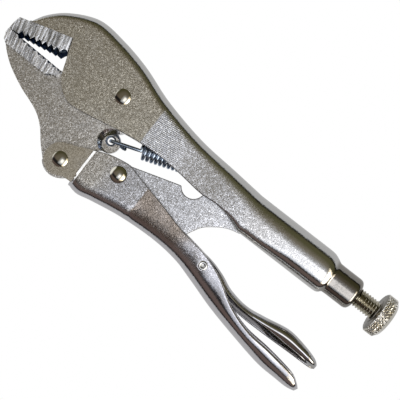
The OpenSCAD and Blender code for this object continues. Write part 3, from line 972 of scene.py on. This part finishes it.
def dress(piece, materials, choose=None):
    """Gives a piece its materials. choose picks one for each face, from the face's middle and normal."""
    piece.data.materials.clear()
    for material in materials:
        piece.data.materials.append(material)
    for face in piece.data.polygons:
        middle = (face.center - RIVET) / MM
        face.material_index = choose(middle, face.normal) if choose else 0


def fixed_jaw_faces(middle, normal):
    """Ground sides, painted shade on the teeth and their chamfers, and bright slopes at the rear end."""
    tips_y = FIXED_TIP_Y + 0.257 * max(middle.x - FIRST_TOOTH_X, 0)
    if middle.x > -31 and middle.y > 1.0 and normal.x > 0.12 and 0.85 < abs(normal.z) < 0.99:
        return 2
    if middle.x > FIRST_TOOTH_X:
        among_teeth = middle.y < tips_y + TOOTH_DEPTH + 0.3
    else:
        among_teeth = middle.y < -5.2
    # The teeth and their chamfers take the painted shade.
    return 1 if among_teeth and abs(normal.z) < 0.95 and middle.x < -27.9 else 0


def moving_jaw_faces(middle, normal):
    """Plated forging; the block's sides are ground, and its teeth and the corner under it get painted shade.
    """
    if middle.x > -25 or (abs(middle.z) < 3.6 and middle.y < -8.4):
        return 0
    steep = abs(normal.z) < 0.95
    tips_y = MOVING_TIP_Y - 0.035 * max(middle.x - FIRST_TOOTH_X, 0)
    teeth_here = middle.y > tips_y - TOOTH_DEPTH and middle.x > -50.7
    # Painted shadow: the dark tooth material along the corner under the block.
    shade_under_block = middle.y < -9.5 and normal.y < -0.3
    return 2 if steep and (teeth_here or shade_under_block) else 1


def lever_faces(middle, normal):
    """A painted highlight where the plate steps out from the ears, and the ears are coined smooth."""
    if 3.0 < middle.x < 5.2 and abs(middle.z) > 5 and abs(normal.z) < 0.95 and normal.x < -0.2:
        return 1
    return 2 if middle.x < 3.6 else 0


def knob_faces(middle, normal):
    """The knob's front face, towards the neck, is darker."""
    return 1 if middle.x < KNOB_X + 0.9 else 0


# ---- Building ----


def build():
    """Every piece with its material, body, slot and the CAD node that it stands for."""
    # Where the tone zones brighten a plate towards the knob, they are partly a different finish and partly
    # painted reflection of the overhead window.
    handle_zones = ((0.0155, 0.0163, (0.58, 0.60, 0.65)), (0.024, 0.034, WHITE),
                    (0.058, 0.076, (0.62, 0.61, 0.60)))
    lever_zones = ((0.008, 0.020, (0.52, 0.525, 0.55)), (0.0290, 0.0296, (0.36, 0.31, 0.27)),
                   (0.046, 0.062, (0.76, 0.76, 0.80)))
    handle_plate = plated("handle plate", OLIVE, (0.60, 0.595, 0.585), handle_zones, lines=(0.0159, 0.036),
                          polish=(0.056, 0.094, 0.38), neck=(0.104, 0.106, (0.29, 0.275, 0.255)))
    lever_plate = plated("lever plate", WARM, (0.60, 0.59, 0.61), lever_zones, polish=(0.046, 0.080, 0.25))
    ear_plate = plated("ear plate", (0.48, 0.44, 0.36), COOL, contrast=0.35, tilt=0.05)
    jaw_plate = plated("jaw plate", (0.57, 0.55, 0.515), COOL)
    link_plate = plated("link plate", COOL, WHITE, zones=((0.046, 0.056, WHITE),))
    tooth_plate = ground_teeth("ground block", (0.28, 0.285, 0.29), (0.86, 0.89, 0.95))
    lower_plate = ground_teeth("ground lower block", (0.40, 0.41, 0.44), (0.94, 0.96, 1.0))
    bright_plate = smooth_plate("bright plate", (0.55, 0.55, 0.55), (0.74, 0.74, 0.74))
    # A painted highlight: the brighter smooth plate on the lever's joggle.
    joggle_highlight_plate = smooth_plate("joggle painted highlight", (0.72, 0.72, 0.72), (0.88, 0.88, 0.88), (0.2, 0.3))
    lever_steel = smooth_plate("release plate", (0.42, 0.41, 0.40), (0.60, 0.60, 0.62), (0.05, 0.10))
    rivet_steel = smooth_plate("rivet steel", (0.38, 0.36, 0.30), (0.50, 0.485, 0.44), (0.06, 0.12))
    # Painted shade with painted glints, for the teeth and for the corner under the moving block.
    teeth_shade = painted_tooth_shade("tooth painted shade")
    screw_steel = smooth_plate("screw steel", (0.36, 0.33, 0.25), (0.52, 0.49, 0.40), (0.12, 0.22))
    knob_steel = smooth_plate("knob steel", (0.62, 0.59, 0.52), (0.86, 0.84, 0.80), (0.08, 0.16))
    knob_face_steel = smooth_plate("knob face steel", (0.20, 0.19, 0.17), (0.30, 0.28, 0.25), (0.3, 0.4))
    spring_wire = blued("blued wire")
    rows = [
        (fixed_handle(), (handle_plate,), "handle", "satin_plate", "fixed_handle"),
        (fixed_jaw(), (tooth_plate, teeth_shade, bright_plate), "handle", "forged_plate", "fixed_jaw"),
        (rivet("jaw_rivet_domed", MAIN_AT, SMALL_HEAD_R, HEAD_HALF, SMALL_RISE),
         (rivet_steel,), "handle", "rivet_steel", "jaw_rivet"),
        (moving_jaw(), (jaw_plate, lower_plate, teeth_shade), "jaw", "forged_plate", "moving_jaw"),
        (lever_handle(), (lever_plate, joggle_highlight_plate, ear_plate), "lever", "satin_plate", "lever_handle"),
        (rivet("lever_rivet_domed", LEVER_AT, SMALL_HEAD_R, EAR_HALF, SMALL_RISE),
         (rivet_steel,), "lever", "rivet_steel", "lever_rivet"),
        (rivet("link_rivet_domed", LINK_AT, LINK_HEAD_R, LEVER_HALF, LINK_RISE, SEAT_DEPTH),
         (rivet_steel,), "lever", "rivet_steel", "link_rivet"),
        (release_rivet(), (bright_plate,), "lever", "bright_plate", "release_rivet"),
        (toggle_link(), (link_plate,), "link", "forged_plate", "toggle_link"),
        (release_lever(), (lever_steel,), "release", "bright_plate", "release_lever"),
        (adjusting_screw(), (screw_steel,), "screw", "screw_steel", "adjusting_screw"),
        (adjusting_knob(), (knob_steel, knob_face_steel), "knob", "screw_steel", "adjusting_knob"),
    ]
    faces = {"fixed_jaw": fixed_jaw_faces, "moving_jaw": moving_jaw_faces, "lever_handle": lever_faces,
             "adjusting_knob": knob_faces}
    for piece, materials, body, slot, node in rows:
        dress(piece, materials, faces.get(node))
        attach(piece, body)
        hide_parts(node)
    spring = jaw_spring()
    dress(spring, (spring_wire,))
    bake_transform(spring)
    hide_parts("jaw_spring")


# ---- Floor, light and camera ----


def floor():
    """A plain white floor that glows: fully towards the camera, and less in the tool's reflections."""
    bm = bmesh.new()
    bmesh.ops.create_circle(bm, cap_ends=True, segments=64, radius=1.5)
    piece = stand("floor", mesh_of("floor", bm))
    material = bpy.data.materials.new("floor white")
    tree, surface = emptied(material, "ShaderNodeOutputMaterial")
    glow = tree.nodes.new("ShaderNodeEmission")
    seen = tree.nodes.new("ShaderNodeLightPath").outputs["Is Camera Ray"]
    tree.links.new(spread(tree, seen, 0, 1, 0.62, 1.0), glow.inputs["Strength"])
    tree.links.new(glow.outputs["Emission"], surface)
    piece.data.materials.append(material)


def studio():
    """A dim warm room with a large soft window overhead, towards the knob, and a low strip beyond the jaws.

    across and beside say where a direction meets the ceiling, along the tool and across it."""
    world = bpy.data.worlds.new("studio")
    bpy.context.scene.world = world
    tree, surface = emptied(world, "ShaderNodeOutputWorld")
    sky = tree.nodes.new("ShaderNodeBackground")
    tree.links.new(sky.outputs["Background"], surface)
    direction = tree.nodes.new("ShaderNodeTexCoord").outputs["Generated"]
    to_knob, to_spine, height = parts_of(tree, direction)
    up = maths(tree, "MAXIMUM", height, 0.02)
    across = maths(tree, "DIVIDE", to_knob, up)
    beside = maths(tree, "DIVIDE", to_spine, up)
    side = spread(tree, to_spine, -0.25, 0.25)
    walls = blend_colour(tree, side, (0.17, 0.125, 0.110), (0.120, 0.112, 0.055))
    room = blend_colour(tree, spread(tree, height, 0.16, 0.42), (0.012, 0.011, 0.012), walls)
    room = blend_colour(tree, spread(tree, height, 0.07, 0.13), (0.55, 0.56, 0.56), room)
    room = blend_colour(tree, spread(tree, height, 0.60, 0.98), room, (0.27, 0.24, 0.19))
    window_frame = window(tree, beside, -1.05, -0.85, -0.5, -0.3)
    room = blend_colour(tree, window_frame, room, (0.03, 0.027, 0.028))
    lights = (
        ((-0.16, 0.08, 0.45, 0.9), (-0.75, -0.45, -0.12, 0.50), (0.95, 1.0, 1.10)),  # the window
        ((0.06, 0.18, 0.36, 0.60), (-0.50, -0.20, 0.0, 0.24), (2.6, 2.6, 2.7)),  # its bright middle
        ((0.56, 0.66, 1.5, 1.9), (-0.9, -0.70, 0.50, 0.75), (2.2, 1.95, 1.5)),  # a warm glow beyond it
        ((0.66, 0.80, 1.5, 1.9), (-0.60, -0.45, 0.25, 0.40), (6.0, 5.8, 5.2)),  # the lamp in the glow
    )
    for long_way, short_way, colour in lights:
        lit = maths(tree, "MULTIPLY", window(tree, across, *long_way), window(tree, beside, *short_way))
        room = blend_colour(tree, lit, room, colour)
    strip = maths(tree, "MULTIPLY", window(tree, height, 0.12, 0.22, 0.44, 0.62),
                  spread(tree, to_knob, -0.72, -0.86))
    tree.links.new(blend_colour(tree, strip, room, (1.6, 1.6, 1.6)), sky.inputs["Color"])


def camera():
    """Straight above the tool, with the jaws at the upper left and the knob at the lower right."""
    middle, height = (47.7, -13.2), 416.0
    up = Vector((-0.613, 0.790, 0)).normalized()
    back = Vector((0, 0, 1))
    right = up.cross(back)
    data = bpy.data.cameras.new("camera")
    data.lens = 96
    data.clip_start = 0.01
    view = stand("camera", data)
    turn = Matrix((right, up, back)).transposed().to_4x4()
    view.matrix_world = Matrix.Translation(place((*middle, height))) @ turn
    bpy.context.scene.camera = view


build()
floor()
studio()
camera()
bpy.context.scene.view_settings.view_transform = "Standard"
